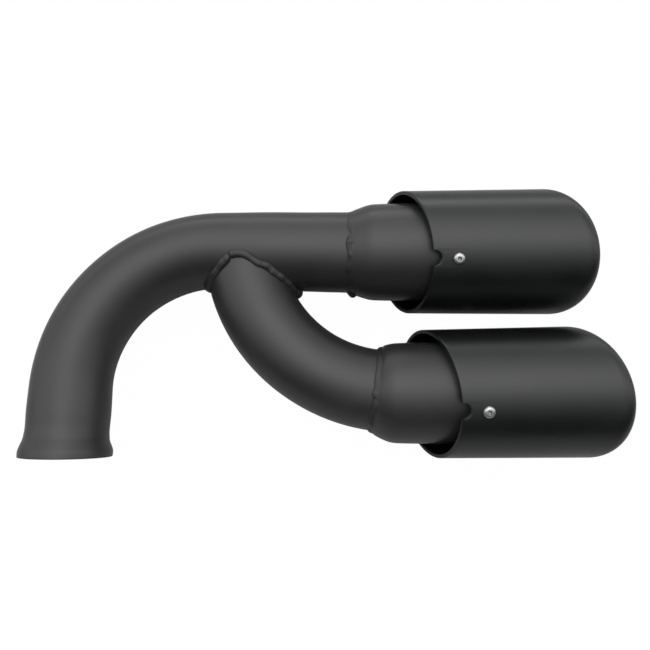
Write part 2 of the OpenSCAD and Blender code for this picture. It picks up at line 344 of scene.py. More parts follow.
class Surface:
    """A material under way, with the coat's grain as its bump."""

    def __init__(self, name: str, coat: bpy.types.NodeTree, grain: float, mottle: float) -> None:
        """Starts the material.

        Args:
            name: The material's name.
            coat: The shared node group of the coat.
            grain: Scale of the grain.
            mottle: Scale of the mottling.
        """
        self.material = bpy.data.materials.new(name)
        self.material.use_nodes = True
        self.nodes = Nodes(self.material.node_tree)
        place = self.nodes.add("ShaderNodeTexCoord", {}).outputs["Object"]
        inputs = {"Vector": place, "Grain Scale": grain, "Mottle Scale": mottle}
        group = self.nodes.add("ShaderNodeGroup", inputs, node_tree=coat)
        self.grain = group.outputs["Height"]
        self.mottle = group.outputs["Mottle"]

    def finish(self, depth: float, inputs: Inputs) -> bpy.types.Material:
        """Closes the material with its bump and its shader.

        Args:
            depth: Depth of the grain, in metres.
            inputs: What the shader takes.

        Returns:
            The material.
        """
        bump = {"Strength": 1.0, "Distance": depth, "Height": self.grain}
        normal = self.nodes.add("ShaderNodeBump", bump).outputs["Normal"]
        shader = self.nodes.add("ShaderNodeBsdfPrincipled", {"Normal": normal, **inputs})
        self.nodes.add("ShaderNodeOutputMaterial", {"Surface": shader.outputs[0]})
        return self.material


@dataclass(frozen=True)
class Coat:
    """A black baked coat over steel.

    Colours are linear. Roughness runs from smooth to rough with the mottling, and falls to a
    share of itself at a grazing view. The grain's depth is in metres.
    """

    name: str
    dark: Colour
    light: Colour
    smooth: float
    rough: float
    grain_scale: float = 900.0
    mottle_scale: float = 28.0
    depth: float = 0.00004
    specular: float = 0.5
    grazing: float = 0.35
    grazing_from: float = 0.35

    def material(self, coat: bpy.types.NodeTree) -> bpy.types.Material:
        """Builds the material on the shared node group of the coat."""
        surface = Surface(self.name, coat, self.grain_scale, self.mottle_scale)
        nodes = surface.nodes
        facing = nodes.add("ShaderNodeLayerWeight", {"Blend": 0.5}).outputs["Facing"]
        sheen = nodes.remap(facing, (self.grazing_from, 1.0), (1.0, self.grazing))
        rough = nodes.remap(surface.mottle, (0.0, 1.0), (self.smooth, self.rough))
        return surface.finish(self.depth, {
            "Base Color": nodes.blend(surface.mottle, self.dark, self.light),
            "Roughness": nodes.calculate("MULTIPLY", rough, sheen),
            "Specular IOR Level": self.specular,
        })


@dataclass(frozen=True)
class TurnedSteel:
    """Bright stainless steel, with fine marks from turning, and painted shade in its hollows.

    Lengths are in metres. Ambient occlusion out to the shade reach tells how open a spot stands,
    and the painted shade span maps it: below the span the steel takes its dark colour, as painted
    shade in the hex socket and at the head's contact edge, and above it its own bright colour.
    """

    name: str
    dark: Colour
    bright: Colour
    smooth: float
    rough: float
    mark_scale: float = 2600.0
    mottle_share: float = 1 / 6
    depth: float = 0.000006
    shade_reach: float = 0.002
    painted_shade_span: Span = (0.45, 0.85)

    def material(self, coat: bpy.types.NodeTree) -> bpy.types.Material:
        """Builds the material, with the coat's grain at a finer scale as the turning marks."""
        surface = Surface(self.name, coat, self.mark_scale, self.mark_scale * self.mottle_share)
        nodes = surface.nodes
        # Painted shade: ambient occlusion darkens the base colour in the hex socket and where the
        # head meets the tip.
        reach = {"Distance": self.shade_reach}
        freedom = nodes.add("ShaderNodeAmbientOcclusion", reach, only_local=True).outputs["AO"]
        free = nodes.remap(freedom, self.painted_shade_span, (0.0, 1.0))
        return surface.finish(self.depth, {
            "Base Color": nodes.blend(free, self.dark, self.bright),
            "Roughness": nodes.remap(surface.mottle, (0.0, 1.0), (self.smooth, self.rough)),
            "Metallic": 1.0,
        })


@dataclass
class Wardrobe:
    """The part's five finishes, each built once."""

    materials: dict[Slot, bpy.types.Material] = field(default_factory=dict)

    def fill(self) -> None:
        """Builds the shared coat and every finish on it."""
        coat = coat_group()
        finishes = {
            Slot.PIPE: Coat(
                "pipe coat", (0.022, 0.022, 0.0225), (0.029, 0.029, 0.0295), 0.41, 0.48,
                specular=0.7,
            ),
            Slot.WELD: Coat(
                "weld coat", (0.017, 0.017, 0.0175), (0.027, 0.027, 0.0275), 0.44, 0.58,
                grain_scale=1300.0, mottle_scale=160.0, depth=0.00009, specular=0.6,
            ),
            Slot.TIP: Coat(
                "tip coat", (0.0045, 0.0060, 0.0055), (0.0070, 0.0085, 0.0080), 0.35, 0.40,
                specular=0.68,
            ),
            Slot.BOSS: Coat(
                "boss coat", (0.018, 0.018, 0.0185), (0.023, 0.023, 0.0235), 0.5, 0.6,
            ),
            # The screws' first colour is painted shade for the socket and the head's contact
            # edge; the second is the steel's own colour.
            Slot.SCREW: TurnedSteel(
                "screw steel", (0.02, 0.02, 0.02), (0.62, 0.62, 0.63), 0.3, 0.42,
            ),
        }
        self.materials = {slot: finish.material(coat) for slot, finish in finishes.items()}

    def dress(self, obj: bpy.types.Object, slot: Slot) -> None:
        """Gives an object one finish all over."""
        obj.data.materials.clear()
        obj.data.materials.append(self.materials[slot])

    def hand_over(self, obj: bpy.types.Object, slot: Slot, node: str) -> None:
        """Dresses a new piece and puts it in the place of its plain node.

        Args:
            obj: The new piece.
            slot: The slot whose finish it takes.
            node: The frame's node that it stands for.
        """
        self.dress(obj, slot)
        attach(obj, BODY)
        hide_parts(node)
        LOG.info("%s: %d faces, %s", obj.name, len(obj.data.polygons), slot.value)


# Pipes


@dataclass
class MainPipe:
    """The bent main pipe: a leg with a flared mouth, a quarter bend and a run.

    Lengths are in millimetres. A section of the pipe is an ellipse: its radius in the plane of
    the bend is drawn in by bending, and its radius across that plane swells a little.
    """

    radius: float = 31.75
    wall: float = 1.5
    leg: float = 53.8
    bend_radius: float = 114.3
    run: float = 103.0
    insert: float = 7.0
    tilt: float = math.radians(1.0)
    mouth_stations: tuple[float, ...] = (0.0, 5.0, 9.4, 13.4, 18.0)
    mouth_radii: tuple[float, ...] = (35.0, 35.0, 33.65, 32.2, 31.55)
    bend_shares: tuple[float, ...] = (-0.1, 0.1, 0.3, 0.5, 0.7, 0.9, 1.03)
    bend_radii: tuple[float, ...] = (31.6, 30.8, 30.5, 30.2, 30.3, 30.4, 31.0)
    run_stations: tuple[float, ...] = (37.0, 70.0, 95.0, 103.0, 106.0)
    run_radii: tuple[float, ...] = (31.95, 32.2, 32.6, 32.5, 31.8)
    swell: float = 0.35
    swell_ends: float = 0.15
    mouth_slant: float = 0.01
    slant_pivot: float = 135.0
    mouth_lean: float = 0.12
    slant_fade: float = 22.0
    rim: float = 0.45
    mouth_step: float = 1.0
    rows: int = 150
    columns: int = 144

    def __post_init__(self) -> None:
        """Works out the corners of the centre line."""
        self.run_dir, self.leg_dir = tilted(self.tilt)
        self.bend_centre = self.leg * self.leg_dir + self.bend_radius * self.run_dir
        self.bend_end = self.bend_centre + self.bend_radius * self.leg_dir
        self.seam = self.bend_end + self.run * self.run_dir
        self.bend_len = self.bend_radius * math.pi / 2
        self.length = self.leg + self.bend_len + self.run + self.insert

    def centre_line(self, s: Array) -> tuple[Array, Array]:
        """Centre line by distance from the mouth: a line, a quarter circle and a line.

        Args:
            s: Distances along the centre line.

        Returns:
            The centres in the plane, and the unit vectors that point out of the bend.
        """
        turn = np.clip((s - self.leg) / self.bend_radius, 0.0, math.pi / 2)[:, None]
        outward = np.sin(turn) * self.leg_dir - np.cos(turn) * self.run_dir
        centre = self.bend_centre + self.bend_radius * outward
        before = np.minimum(s - self.leg, 0.0)[:, None] * self.leg_dir
        after = np.maximum(s - self.leg - self.bend_len, 0.0)[:, None] * self.run_dir
        return centre + before + after, outward

    def radii(self, s: Array) -> tuple[Array, Array]:
        """Radii of the section's ellipse, in the bend's plane and across it.

        Args:
            s: Distances along the centre line.

        Returns:
            Both radii of the outside.
        """
        bend = tuple(self.leg + share * self.bend_len for share in self.bend_shares)
        run = tuple(self.leg + self.bend_len + along for along in self.run_stations)
        stations = (*self.mouth_stations, *bend, *run)
        flat = through(stations, (*self.mouth_radii, *self.bend_radii, *self.run_radii), s)
        share = (s - self.leg) / self.bend_len
        ends = self.swell_ends
        swollen = self.swell * smooth_step(share / ends) * smooth_step((1 - share) / ends)
        across = np.where(s > self.mouth_stations[-1], self.radius + swollen, flat)
        blend = smooth_step((s - self.mouth_stations[-1]) / self.mouth_stations[-1])
        return flat, flat + (across - flat) * blend

    def clearance(self, points: Array) -> Array:
        """How far points lie outside the pipe, as a share of its radius; negative inside."""
        off, s, _ = self.locate(points)
        flat, across = self.radii(s)
        return np.hypot(off / flat, points[..., 2] / across) - 1.0

    def locate(self, points: Array) -> tuple[Array, Array, Array]:
        """Nearest place on the bend's or the run's centre line.

        Args:
            points: Points near the bend or the run.

        Returns:
            The signed distance from the centre line in the plane, the distance along the
            centre line, and the unit vector out of the bend there.
        """
        flat = points[..., :2]
        along = (flat - self.bend_end) @ self.run_dir
        from_centre = flat - self.bend_centre
        reach = np.linalg.norm(from_centre, axis=-1)
        on_run = along > 0
        off = np.where(on_run, (flat - self.bend_end) @ self.leg_dir, reach - self.bend_radius)
        turn = np.arctan2(from_centre @ self.leg_dir, -(from_centre @ self.run_dir))
        s = np.where(on_run, self.leg + self.bend_len + along, self.leg + self.bend_radius * turn)
        outward = np.where(on_run[..., None], self.leg_dir, from_centre / reach[..., None])
        return off, s, outward

    def normal(self, points: Array) -> Array:
        """Outward normal of the pipe's surface: the ellipse's gradient at each point."""
        off, s, outward = self.locate(points)
        flat, across = self.radii(s)
        level = outward * (off / flat**2)[..., None]
        rise = (points[..., 2] / across**2)[..., None]
        return unit(np.concatenate([level, rise], axis=-1))

    def rings(self, inset: float) -> Array:
        """Rings of one face of the wall.

        A point is centre + outward * a * cos(angle) + Z * b * sin(angle), with a and b the
        ellipse's radii less the inset, and both rims rounded. The mouth's cut is out of square:
        it slants by a share of the distance from its pivot and leans by a share of the height,
        and both fade out along the leg.

        Args:
            inset: Depth of the face under the outside.

        Returns:
            The rings.
        """
        mouth = np.arange(0.0, self.mouth_stations[-1], self.mouth_step)
        rest = np.linspace(self.mouth_stations[-1], self.length, self.rows)
        s, step = softened(np.concatenate([mouth, rest]), self.rim)
        step = np.where(inset > 0, -step, step)
        centre, outward = self.centre_line(s)
        flat, across = self.radii(s)
        angle = around(self.columns)
        reach = (flat - inset - step)[:, None] * np.cos(angle)
        rise = (across - inset - step)[:, None] * np.sin(angle)
        plane = centre[:, None, :] + outward[:, None, :] * reach[..., None]
        fade = (1.0 - smooth_step(s / self.slant_fade))[:, None]
        slant = self.mouth_slant * (plane[..., 0] + self.slant_pivot)
        plane[..., 1] += fade * (slant - self.mouth_lean * rise)
        return np.concatenate([plane, rise[..., None]], axis=-1)

    def build(self, wardrobe: Wardrobe, branch: "BranchPipe") -> None:
        """Makes the pipe, with the hole that opens into the branch."""
        obj = skin("main_pipe_body", shell(self.rings(0.0), self.rings(self.wall)))
        cut(obj, branch.hole_cutter())
        wardrobe.hand_over(obj, Slot.PIPE, "main_pipe")


@dataclass
class BranchPipe:
    """The branch: one long bend from the main pipe down to the lower sleeve."""

    main: MainPipe
    bend_radius: float = 120.8
    wall: float = 1.5
    hole_margin: float = 2.0
    tilt: float = math.radians(7.5)
    axis_gap: float = 114.5
    rise: float = 1.9
    seam_shift: float = 18.8
    insert: float = 7.0
    stations: tuple[float, ...] = (190.0, 215.0, 240.0, 256.0, 270.0)
    flat_radii: tuple[float, ...] = (31.6, 31.3, 31.2, 31.6, 31.9)
    across_radii: tuple[float, ...] = (29.5, 30.3, 31.0, 31.5, 31.9)
    sunk: float = math.radians(0.25)
    search: Span = (178.0, 230.0)
    halvings: int = 30
    hole_turns: Span = (183.0, 222.0)
    hole_rows: int = 24
    rows: int = 90
    insert_rows: int = 4
    columns: int = 144

    def __post_init__(self) -> None:
        """Works out the lower seam and the centre of the bend."""
        self.axis_y = self.main.seam[1] - self.axis_gap
        self.seam = np.array([self.main.seam[0] + self.seam_shift, self.axis_y + self.rise])
        self.ahead, beside = tilted(self.tilt)
        self.centre = self.seam + self.bend_radius * beside
        self.last = 1.5 * math.pi - self.tilt

    def point(self, turn: Array, angle: Array, inset: float = 0.0) -> Array:
        """A point of the branch's surface.

        It is centre + radial * (R + a * cos(angle)) + Z * b * sin(angle), where radial points
        from the bend's centre at the turn, and a and b are the section's radii.

        Args:
            turn: Angle along the bend.
            angle: Angle around the section.
            inset: Depth under the outside.

        Returns:
            The points.
        """
        flat = through(self.stations, self.flat_radii, np.degrees(turn)) - inset
        across = through(self.stations, self.across_radii, np.degrees(turn)) - inset
        reach = self.bend_radius + flat * np.cos(angle)
        x = self.centre[0] + reach * np.cos(turn)
        y = self.centre[1] + reach * np.sin(turn)
        return np.stack([x, y, across * np.sin(angle)], axis=-1)

    def leaving(self, angle: Array, inset: float = 0.0) -> Array:
        """Turn at which each line along the branch leaves the main pipe, by halving.

        Args:
            angle: Angles around the section.
            inset: Depth under the branch's outside.

        Returns:
            The turns.
        """
        low = np.full_like(angle, math.radians(self.search[0]))
        high = np.full_like(angle, math.radians(self.search[1]))
        for _ in range(self.halvings):
            middle = (low + high) / 2
            inside = self.main.clearance(self.point(middle, angle, inset)) < 0
            low = np.where(inside, middle, low)
            high = np.where(inside, high, middle)
        return (low + high) / 2

    def rings(self, inset: float) -> Array:
        """Rings of one face of the wall, from the main pipe to inside the lower sleeve.

        Args:
            inset: Depth of the face under the outside.

        Returns:
            The rings.
        """
        angle = around(self.columns)
        first = self.leaving(angle, inset) - self.sunk
        share = np.linspace(0.0, 1.0, self.rows)[:, None]
        turn = first + (self.last - first) * share
        bent = self.point(turn, np.broadcast_to(angle, turn.shape), inset)
        lengths = np.linspace(0.0, self.insert, self.insert_rows + 1)[1:, None, None]
        straight = bent[-1][None] + lengths * np.append(self.ahead, 0.0)
        return np.concatenate([bent, straight], axis=0)

    def hole_cutter(self) -> bpy.types.Object:
        """The bore's form, from the main pipe's middle to outside its wall, closed."""
        turn = np.radians(np.linspace(*self.hole_turns, self.hole_rows))[:, None]
        angle = np.broadcast_to(around(self.columns), (self.hole_rows, self.columns))
        grid = self.point(turn, angle, self.wall + self.hole_margin)
        first = np.broadcast_to(grid[0].mean(axis=0), grid[0].shape)
        last = np.broadcast_to(grid[-1].mean(axis=0), grid[-1].shape)
        return skin("hole", np.concatenate([first[None], grid, last[None]]), closed=False)

    def build(self, wardrobe: Wardrobe) -> None:
        """Makes the branch."""
        obj = skin("branch_pipe_body", shell(self.rings(0.0), self.rings(self.wall)))
        wardrobe.hand_over(obj, Slot.PIPE, "branch_pipe")


# Weld beads


@dataclass(frozen=True)
class Lump:
    """A swelling or a dip of a bead, as a bell curve around it.

    Angles are in degrees around the joint, and sizes in millimetres. A negative width or
    height makes a dip.
    """

    angle: float
    spread: float
    width: float
    height: float
    shift: float = 0.0


def lumps_at(lumps: tuple[Lump, ...], degrees: Array) -> tuple[Array, Array, Array]:
    """Adds up the bell curves of lumps: size * exp(-(distance / spread)^2).

    Args:
        lumps: The lumps.
        degrees: Angles to read them at.

    Returns:
        The added width, height and sideways shift.
    """
    total = np.zeros((3, len(degrees)))
    for lump in lumps:
        away = (degrees - lump.angle + 180.0) % 360.0 - 180.0
        bell = np.exp(-((away / lump.spread) ** 2))
        total += np.outer((lump.width, lump.height, lump.shift), bell)
    return total[0], total[1], total[2]


@dataclass(frozen=True)
class Wave:
    """One way in which a welder's hand is unsteady, by size and shortest wave in millimetres."""

    size: float
    period: float
    seed: float

    def at(self, length: Array) -> Array:
        """Three sines of unlike periods, averaged, at distances along the bead."""
        turn = 2.0 * math.pi * length / self.period
        sines = [np.sin(rate * turn + phase * self.seed) for rate, phase in HAND_SINES]
        return self.size * sum(sines) / len(sines)


@dataclass(kw_only=True)
class Bead:
    """A hand-laid weld bead: a rope with lumps, fine ripples and an unsteady course.

    Lengths are in millimetres. The waves move the half width, the half height and the course.
    """

    width: float
    height: float
    lift: float
    waves: tuple[Wave, Wave, Wave]
    lumps: tuple[Lump, ...]
    ripple: float
    ripple_len: float
    side_ripple: float = 0.0
    ahead: float = 0.0
    places: int
    sides: int
    flatness: float = 0.85

    def lay(
        self, name: str, path: Array, across: Array, out: Array, length: Array
    ) -> bpy.types.Object:
        """Lays the rope along a closed path.

        Each section is centre + across * width * cos(angle) + out * height * sin(angle), with
        the cosine flattened so that the top is broad. The waves fade where the path starts.

        Args:
            name: Name of the object.
            path: Points of the joint.
            across: Unit vectors across the bead.
            out: Unit vectors away from the joint.
            length: Distance along the path.

        Returns:
            The bead.
        """
        turn = around(self.places)
        wide, high, shift = lumps_at(self.lumps, np.degrees(turn))
        fade = np.sin(turn / 2) ** 0.25
        wave_wide, wave_high, wave_side = (fade * wave.at(length) for wave in self.waves)
        ripple = self.ripple * np.cos(2 * math.pi * length / self.ripple_len)
        width = self.width + wide + self.side_ripple * ripple + wave_wide
        height = self.height + high + ripple + wave_high
        side = self.ahead + shift + wave_side
        centre = path + out * self.lift + across * side[:, None]
        angle = around(self.sides)
        broad = np.sign(np.cos(angle)) * np.abs(np.cos(angle)) ** self.flatness
        flank = across[:, None, :] * (width[:, None] * broad)[..., None]
        crown = out[:, None, :] * (height[:, None] * np.sin(angle))[..., None]
        return skin(name, centre[:, None, :] + flank + crown)


@dataclass(kw_only=True)
class SaddleBead(Bead):
    """The hand-laid bead where the branch meets the main pipe."""

    branch: BranchPipe
    width: float = 3.2
    height: float = 2.2
    lift: float = 0.9
    waves: tuple[Wave, Wave, Wave] = (
        Wave(0.25, 11.0, 0.4), Wave(0.2, 8.0, 1.9), Wave(0.45, 19.0, 2.6),
    )
    ripple: float = 0.04
    ripple_len: float = 2.9
    side_ripple: float = 1.0
    places: int = 720
    sides: int = 22
    lumps: tuple[Lump, ...] = (
        Lump(8.0, 10.0, 0.4, 1.3, 0.5),
        Lump(44.0, 6.0, 0.2, 0.3, -0.3),
        Lump(60.0, 5.0, 0.3, 0.4, 0.2),
        Lump(73.0, 2.2, -1.0, -1.1),
        Lump(76.0, 9.0, 0.1, 0.4, 1.5),
        Lump(103.0, 4.0, -0.4, -0.3),
        Lump(108.0, 12.0, -0.2, 0.0, -1.6),
        Lump(114.0, 3.5, 0.3, 0.4, -0.5),
        Lump(122.0, 3.5, 0.1, 0.5, 0.3),
        Lump(131.0, 4.0, 0.3, 0.4, -0.6),
        Lump(142.0, 4.5, 0.2, 0.6, 0.3),
        Lump(160.0, 9.0, 0.3, 0.1, 0.2),
        Lump(185.0, 8.5, 2.3, 5.2, 0.0),
        Lump(212.0, 9.0, 0.6, 0.5, 0.8),
        Lump(238.0, 9.0, 0.4, 0.3, -0.4),
        Lump(268.0, 11.0, 0.5, 0.4, 0.3),
        Lump(300.0, 9.0, 0.4, 0.5, -0.3),
        Lump(330.0, 8.0, 0.5, 0.6, 0.3),
    )

    def build(self, wardrobe: Wardrobe) -> None:
        """Makes the bead along the curve where the two outsides meet.

        It stands out halfway between the two pipes' normals, and its positive side is the one
        towards the branch's normal.

        Args:
            wardrobe: The finishes.
        """
        angle = around(self.places)
        turn = self.branch.leaving(angle)
        path = self.branch.point(turn, angle)
        along = unit(np.roll(path, -1, axis=0) - np.roll(path, 1, axis=0))
        on_main = self.branch.main.normal(path)
        radial = np.stack([np.cos(turn), np.sin(turn), np.zeros_like(turn)], axis=-1)
        on_branch = radial * np.cos(angle)[:, None] + UPWARD * np.sin(angle)[:, None]
        out = unit(on_main + on_branch)
        across = unit(np.cross(along, out))
        across *= np.sign(np.einsum("ij,ij->i", across, on_branch - on_main))[:, None]
        length = np.cumsum(np.linalg.norm(path - np.roll(path, 1, axis=0), axis=-1))
        obj = self.lay("branch_weld_bead", path, across, out, length)
        wardrobe.hand_over(obj, Slot.WELD, "branch_weld")


def seam_waves(seed: float) -> tuple[Wave, Wave, Wave]:
    """The waves of a seam's bead, whose seed tells one bead from another."""
    return Wave(0.35, 12.0, seed), Wave(0.2, 9.0, 2 * seed), Wave(0.35, 17.0, 3 * seed)


@dataclass(kw_only=True)
class SeamBead(Bead):
    """The low bead that joins a pipe to the neck of its sleeve."""

    side: Side
    centre: Array
    tilt: float
    pipe_radius: float
    width: float = 3.6
    height: float = 1.2
    lift: float = 0.1
    ripple: float = 0.03
    ripple_len: float = 2.6
    ahead: float = 0.6
    places: int = 540
    sides: int = 20

    def build(self, wardrobe: Wardrobe) -> None:
        """Makes the bead around the seam, square to the pipe.

        The path is the circle of the pipe's outside in the seam's plane, and the angle runs
        from +Y towards +Z.

        Args:
            wardrobe: The finishes.
        """
        angle = around(self.places)
        ahead, beside = (np.append(way, 0.0) for way in tilted(self.tilt))
        out = beside * np.cos(angle)[:, None] + UPWARD * np.sin(angle)[:, None]
        path = np.append(self.centre, 0.0) + out * self.pipe_radius
        across = np.broadcast_to(ahead, out.shape)
        name = self.side.value
        obj = self.lay(f"{name}_seam_bead", path, across, out, self.pipe_radius * angle)
        wardrobe.hand_over(obj, Slot.WELD, f"{name}_sleeve_weld")


# Sleeves and tips


@dataclass
class Sleeve:
    """A sleeve that widens from its pipe's seam and runs on inside its tip."""

    side: Side
    seam: Array
    axis_y: float
    tilt: float
    neck: float
    stations: tuple[float, ...]
    radii: tuple[float, ...]
    length: float = 120.0
    wall: float = 1.6
    shoulder: float = 18.0
    slide: float = 18.0
    rim: float = 0.5
    fine_share: float = 1.6
    fine_step: float = 0.8
    far_rows: int = 40
    columns: int = 160

    def rings(self, inset: float) -> Array:
        """Rings of one face of the wall.

        A ring is a circle around the tip's axis. Towards the seam its middle slides onto the
        pipe's axis, and its plane leans to stand square to the pipe.

        Args:
            inset: Depth of the face under the outside.

        Returns:
            The rings.
        """
        fine = self.fine_share * self.shoulder
        near = np.arange(0.0, fine, self.fine_step)
        far = np.linspace(fine, self.length, self.far_rows)
        s, step = softened(np.concatenate([near, far]), self.rim)
        step = np.where(inset > 0, -step, step)
        angle = around(self.columns)
        radius = through(self.stations, self.radii, s) - inset - step
        radius = np.maximum(radius, self.neck) if inset > 0 else radius
        hold = 1.0 - smooth_step(s / self.slide)
        rise = self.seam[1] - self.axis_y
        y = self.axis_y + (rise * hold)[:, None] + radius[:, None] * np.cos(angle)
        z = radius[:, None] * np.sin(angle)
        lean = hold[:, None] * (y - self.seam[1]) * math.tan(self.tilt)
        x = self.seam[0] + s[:, None] + lean
        return np.stack([x, y, z], axis=-1)

    def build(self, wardrobe: Wardrobe) -> None:
        """Makes the sleeve."""
        rings = shell(self.rings(0.0), self.rings(self.wall))
        obj = skin(f"{self.side.value}_sleeve_shell", rings)
        wardrobe.hand_over(obj, Slot.PIPE, f"{self.side.value}_sleeve")


def arc(centre: Span, radius: float, first: float, last: float, count: int) -> Array:
    """An arc of a profile, between two angles in degrees."""
    angle = np.radians(np.linspace(first, last, count))[:, None]
    return np.array(centre) + radius * np.concatenate([np.cos(angle), np.sin(angle)], axis=1)


@dataclass
class OuterTip:
    """A tip: a slightly tapered shell with a slashed rear rim and a rolled-in, slashed lip."""

    side: Side
    rear_x: float
    axis_y: float
    rear_radius: float = 49.5
    front_radius: float = 50.6
    wall: float = 3.0
    length: float = 112.5
    lip_roll: float = 15.0
    lip_turn: float = 4.0
    lip_return: float = 8.0
    tail_inside: tuple[Span, ...] = ((0.0, 0.6), (0.2, 0.1), (0.7, 0.0))
    tail_outside: tuple[Span, ...] = ((-0.3, 0.0), (0.0, 0.4))
    rear_slash: float = math.tan(math.radians(19.8))
    front_slash: float = math.tan(math.radians(24.2))
    clocking: float = math.radians(25.8)
    front_clocking: float = math.radians(26.5)
    notch_clocking: float = math.radians(22.8)
    notch_radius: float = 6.2
    notch_fade: float = 26.0
    climb: float = 0.0
    rim: float = 0.5
    rows: int = 44
    columns: int = 264
    notch_columns: int = 36

    def __post_init__(self) -> None:
        """Works out the whole length, rear rim to outlet."""
        self.total = self.length + self.lip_roll

    def profile(self) -> Array:
        """The shell's closed section: out along the outside, round the lip and back inside.

        Returns:
            Pairs of radius and distance from the rear rim.
        """
        roll = (self.front_radius - self.lip_roll, self.length)
        turn = (roll[0], self.total - self.lip_turn)
        tail = np.array([turn[0] - self.lip_turn, turn[1] - self.lip_return])
        halfway = self.rim * (1 - math.sqrt(0.5))
        rear = np.array([[-self.rim, 0.0], [-halfway, halfway], [0.0, self.rim]])
        share = np.linspace(0.0, 1.0, self.rows)[1:-1, None]
        start = np.array([self.rear_radius, 0.0])
        outside = start + share * np.array([self.front_radius - self.rear_radius, self.length])
        inner_roll = self.lip_roll - self.wall
        inner_turn = self.lip_turn - self.wall
        across = np.array([self.wall, 0.0])
        return np.concatenate([
            start + rear,
            outside,
            arc(roll, self.lip_roll, 0.0, 90.0, 30),
            arc(turn, self.lip_turn, 90.0, 180.0, 12)[1:],
            tail + np.array(self.tail_inside),
            tail + across + np.array(self.tail_outside),
            arc(turn, inner_turn, 180.0, 90.0, 6),
            arc(roll, inner_roll, 90.0, 0.0, 26)[1:],
            outside[::-1] - across,
            start - across + rear[::-1] * np.array([-1.0, 1.0]),
        ])

    def angles(self) -> Array:
        """Angles around the tip, close together across the notch.

        Across the notch they follow the cosine, so that its half round has even steps.

        Returns:
            Rising angles from +Z towards -Y, over one turn.
        """
        half = self.notch_radius / self.rear_radius
        across = -half * np.cos(np.linspace(0.0, math.pi, self.notch_columns))
        rest = np.linspace(half, 2 * math.pi - half, self.columns - self.notch_columns + 2)[1:-1]
        return self.notch_clocking + np.concatenate([across, rest])

    def rings(self) -> Array:
        """Rings of the whole shell.

        A point at radius r, distance x and angle a lies at x + slash * r * cos(a - clocking)
        along the axis. Near the rear rim x moves ahead by the notch's half round, which is
        sqrt(R^2 - u^2) at a distance u around the rim, and this fades away from the rim.

        Returns:
            The rings.
        """
        profile = self.profile()
        angle = self.angles()
        radius = profile[:, :1]
        x = profile[:, 1:]
        share = x / self.total
        slash = self.rear_slash + (self.front_slash - self.rear_slash) * share
        turn = self.clocking + (self.front_clocking - self.clocking) * share
        lean = slash * radius * np.cos(angle - turn)
        beside = (angle - self.notch_clocking + math.pi) % (2 * math.pi) - math.pi
        depth = np.sqrt(np.maximum(self.notch_radius**2 - (beside * self.rear_radius) ** 2, 0.0))
        notch = depth * np.clip(1.0 - x / self.notch_fade, 0.0, 1.0)
        places = self.rear_x + x + lean + notch
        y = self.axis_y + self.climb * x - radius * np.sin(angle)
        return np.stack([places, y, radius * np.cos(angle)], axis=-1)

    def radius_at(self, x: float) -> float:
        """Radius of the outside at a distance from the rear rim."""
        return self.rear_radius + (self.front_radius - self.rear_radius) * x / self.length

    def build(self, wardrobe: Wardrobe) -> None:
        """Makes the tip."""
        obj = skin(f"{self.side.value}_tip_shell", self.rings())
        wardrobe.hand_over(obj, Slot.TIP, f"{self.side.value}_tip")


